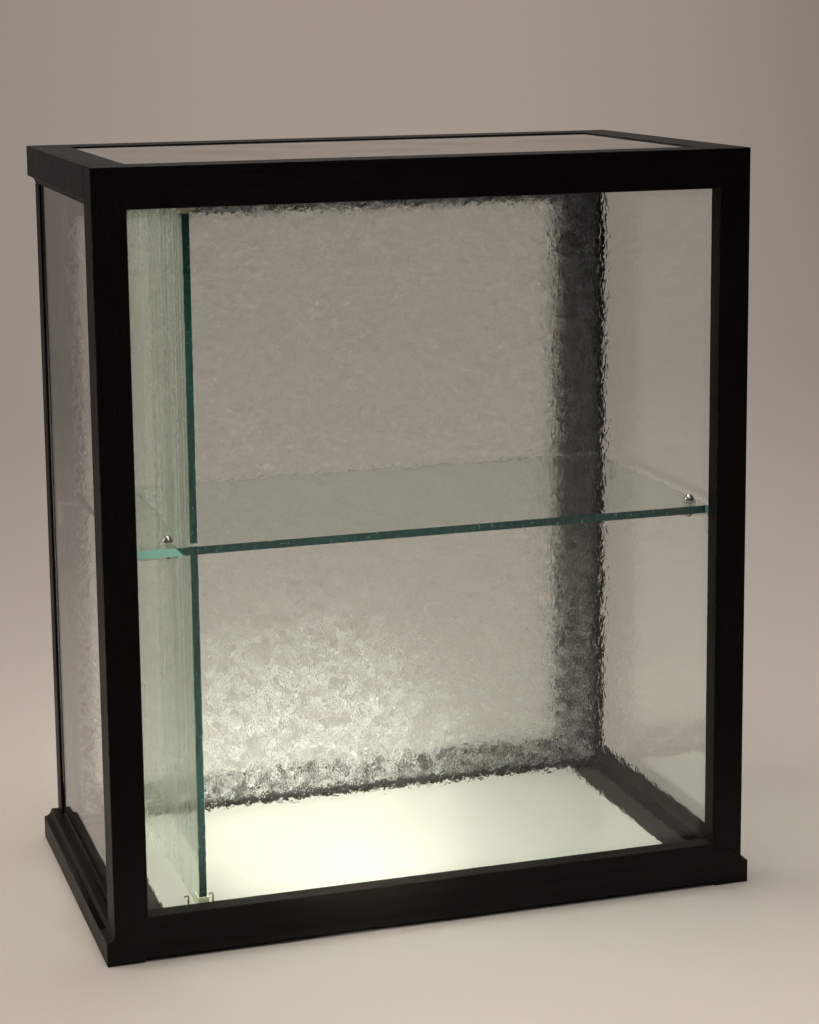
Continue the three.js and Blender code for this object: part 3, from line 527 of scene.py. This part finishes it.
def rolled_pane(node, finish, wrinkles, depth, cell):
    """A pane with wrinkles up to depth deep on its inner face, in cells of this size.

    Its outer face and its edges are flat. finish is the materials of the wrinkles and of the rest.
    """
    low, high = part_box(node)
    inner, outer = (low.y, high.y) if abs(low.y) < abs(high.y) else (high.y, low.y)
    columns = round((high.x - low.x) / cell) + 1
    rows = round((high.z - low.z) / cell) + 1
    x, z = np.meshgrid(np.linspace(low.x, high.x, columns), np.linspace(low.z, high.z, rows))
    y = inner + math.copysign(depth, outer - inner) * wrinkles(x / MM, z / MM)
    points = np.stack([x, y, z], -1).reshape(-1, 3)
    corners = [(low.x, outer, low.z), (high.x, outer, low.z), (high.x, outer, high.z), (low.x, outer, high.z)]
    index = np.arange(rows * columns).reshape(rows, columns)
    quads = np.stack([index[:-1, :-1], index[1:, :-1], index[1:, 1:], index[:-1, 1:]], -1).reshape(-1, 4)
    a, b, c, d = range(rows * columns, rows * columns + 4)
    sides = [
        [a, b, *index[0, ::-1]],
        [b, c, *index[::-1, -1]],
        [c, d, *index[-1, :]],
        [d, a, *index[:, 0]],
        [d, c, b, a],
    ]
    data = bpy.data.meshes.new(f"{node}_rolled")
    sides = [[int(k) for k in side] for side in sides]
    data.from_pydata([*points.tolist(), *corners], [], [*quads.tolist(), *sides])
    bm = bmesh.new()
    bm.from_mesh(data)
    bmesh.ops.recalc_face_normals(bm, faces=bm.faces)
    bm.faces.ensure_lookup_table()
    for f in bm.faces[:len(quads)]:
        f.smooth = True
    for f in bm.faces[len(quads):]:
        f.material_index = 1
    bm.to_mesh(data)
    bm.free()
    data.set_sharp_from_angle(angle=math.radians(60))
    stand_in(node, data, finish, even_normals=False)


dress_all()
rear_finish = (ripples, looks["clear_glass"])
front_finish = (slight_ripples, looks["front_glass"])
rolled_pane("rear_glass", rear_finish, deep_ripple, 1.0 * MM, 1.6 * MM)
rolled_pane("front_glass", front_finish, slight_ripple, 0.13 * MM, 1.7 * MM)


# ---------------------------------------------------------------- studio
def backdrop():
    """A pale table that sweeps up into a pale wall."""
    front, back, radius, top, half, steps = -4.5, 1.6, 1.5, 5.0, 6.0, 32
    turns = np.linspace(0, math.pi / 2, steps + 1)[1:]
    profile = [(front, 0.0), (back, 0.0)]
    profile += [(back + radius * math.sin(a), radius * (1 - math.cos(a))) for a in turns]
    profile.append((back + radius, top))
    points = [(side * half, y, z) for y, z in profile for side in (-1, 1)]
    faces = [(2 * k, 2 * k + 1, 2 * k + 3, 2 * k + 2) for k in range(len(profile) - 1)]
    data = bpy.data.meshes.new("backdrop")
    data.from_pydata(points, [], faces)
    for f in data.polygons:
        f.use_smooth = True
    sweep = bpy.data.objects.new("backdrop", data)
    scene.collection.objects.link(sweep)
    data.materials.append(backdrop_paint())


def backdrop_paint():
    p = Paint("backdrop", Specular_IOR_Level=0.15)
    x, away, z = p.split()
    # Painted light: the table's colour is paler near the front and dimmer further back.
    table = p.ramp(
        p.fit(away, -1.2, 3.0),
        (0.0, (0.66, 0.600, 0.53)), (0.35, (0.52, 0.47, 0.42)), (1.0, (0.45, 0.40, 0.35)),
    )
    p.link(table, "Base Color")
    p.link(p.fit(away, -1.2, 3.0, 0.7, 0.8), "Roughness")
    # Far behind the case the sweep glows for camera, glossy and transmission rays, with painted light and shade
    # in the glow: paler low down and towards the middle, with painted shade towards the sides.
    painted_glow_tone = p.ramp(
        p.fit(p.math("ADD", away, z), 0.3, 5.5),
        (0.0, (0.45, 0.385, 0.335)), (0.15, (0.405, 0.345, 0.300)),
        (0.33, (0.357, 0.303, 0.262)), (1.0, (0.362, 0.308, 0.267)),
    )
    middle = p.math("MULTIPLY", away, 0.28)
    aside = p.math("SUBTRACT", p.math("SUBTRACT", x, middle), 0.05)
    painted_side_shade = p.fit(p.math("MULTIPLY", aside, aside), 0.0, 1.4, 0.0, 0.42)
    painted_glow_tone = p.mix(painted_side_shade, painted_glow_tone, (0.0, 0.0, 0.0))
    path = p.node("ShaderNodeLightPath").outputs
    seen = p.math("MAXIMUM", path["Is Camera Ray"], path["Is Glossy Ray"])
    seen = p.math("MAXIMUM", seen, path["Is Transmission Ray"])
    share = p.math("MULTIPLY", seen, p.fit(away, 0.35, 1.1))
    glow = p.node("ShaderNodeEmission", {"Color": painted_glow_tone, "Strength": 1.0}).outputs[0]
    both = p.node("ShaderNodeMixShader", {0: share, 1: p.shader.outputs[0], 2: glow}).outputs[0]
    p.tree.links.new(both, p.output.inputs["Surface"])
    return p.material


def hang(lamp, place, target, power, colour):
    """Hangs a lamp at place, aimed at target."""
    lamp.energy = power
    lamp.color = colour
    holder = bpy.data.objects.new(lamp.name, lamp)
    holder.location = place
    holder.rotation_euler = (Vector(target) - Vector(place)).to_track_quat("-Z", "Y").to_euler()
    scene.collection.objects.link(holder)
    return holder


def soft_lamp(name, place, target, size, power, colour):
    """A rectangular lamp of size across and high, in metres."""
    lamp = bpy.data.lights.new(name, "AREA")
    lamp.shape = "RECTANGLE"
    lamp.size, lamp.size_y = size
    return hang(lamp, place, target, power, colour)


def spot_lamp(name, place, target, cone, radius, power, colour):
    """A soft-edged spot whose cone is cone degrees wide."""
    lamp = bpy.data.lights.new(name, "SPOT")
    lamp.spot_size = math.radians(cone)
    lamp.spot_blend = 1.0
    lamp.shadow_soft_size = radius
    return hang(lamp, place, target, power, colour)


def studio():
    backdrop()
    white, warm, low_sun = (1, 0.97, 0.93), (1, 0.96, 0.88), (1, 0.89, 0.76)
    soft_lamp("overhead", (-0.2, 0.25, 2.9), (0, 0, 0), (2.4, 1.8), 72, white)
    soft_lamp("front_high", (0.25, -2.3, 2.1), (0, 0.1, 0.35), (1.4, 0.5), 6, white)
    soft_lamp("left_fill", (-2.6, 0.9, 1.2), (0, 0, 0.3), (1.2, 1.6), 26, low_sun)
    spot_lamp("table_pool", (0.05, -0.95, 1.9), (0.05, -0.45, 0), 34, 0.08, 30, white)
    # The bright pool on the white floor, and the glow low on the rear pane.
    spot_lamp("pool", (-0.25, -0.90, 2.2), (-0.075, 0, 0.02), 12, 0.05, 60, warm)
    halo = spot_lamp("halo", (-0.10, -0.62, 0.36), (-0.045, 0.080, 0.035), 26, 0.02, 48, warm)
    halo.visible_glossy = False
    world = bpy.data.worlds.new("studio")
    world.use_nodes = True
    world.node_tree.nodes["Background"].inputs["Color"].default_value = (0.05, 0.047, 0.044, 1)
    scene.world = world


def camera():
    """The photograph's own view, fitted to the corners of the front frame."""
    yaw, pitch, roll = (math.radians(a) for a in (17.70, 9.61, -0.60))
    place = (-0.5275, -1.7385, 0.686)
    ahead = Vector((math.sin(yaw) * math.cos(pitch), math.cos(yaw) * math.cos(pitch), -math.sin(pitch)))
    level = Vector((math.cos(yaw), -math.sin(yaw), 0))
    above = level.cross(ahead)
    right = math.cos(roll) * level + math.sin(roll) * above
    up = math.cos(roll) * above - math.sin(roll) * level
    lens = bpy.data.cameras.new("camera")
    lens.sensor_width = 36.0
    lens.lens = 81.53
    lens.shift_y = -0.109
    lens.clip_end = 50
    holder = bpy.data.objects.new("camera", lens)
    turned = Matrix((right, up, -ahead)).transposed().to_4x4()
    turned.translation = place
    holder.matrix_world = turned
    scene.collection.objects.link(holder)
    scene.camera = holder


studio()
camera()
scene.view_settings.view_transform = "Standard"
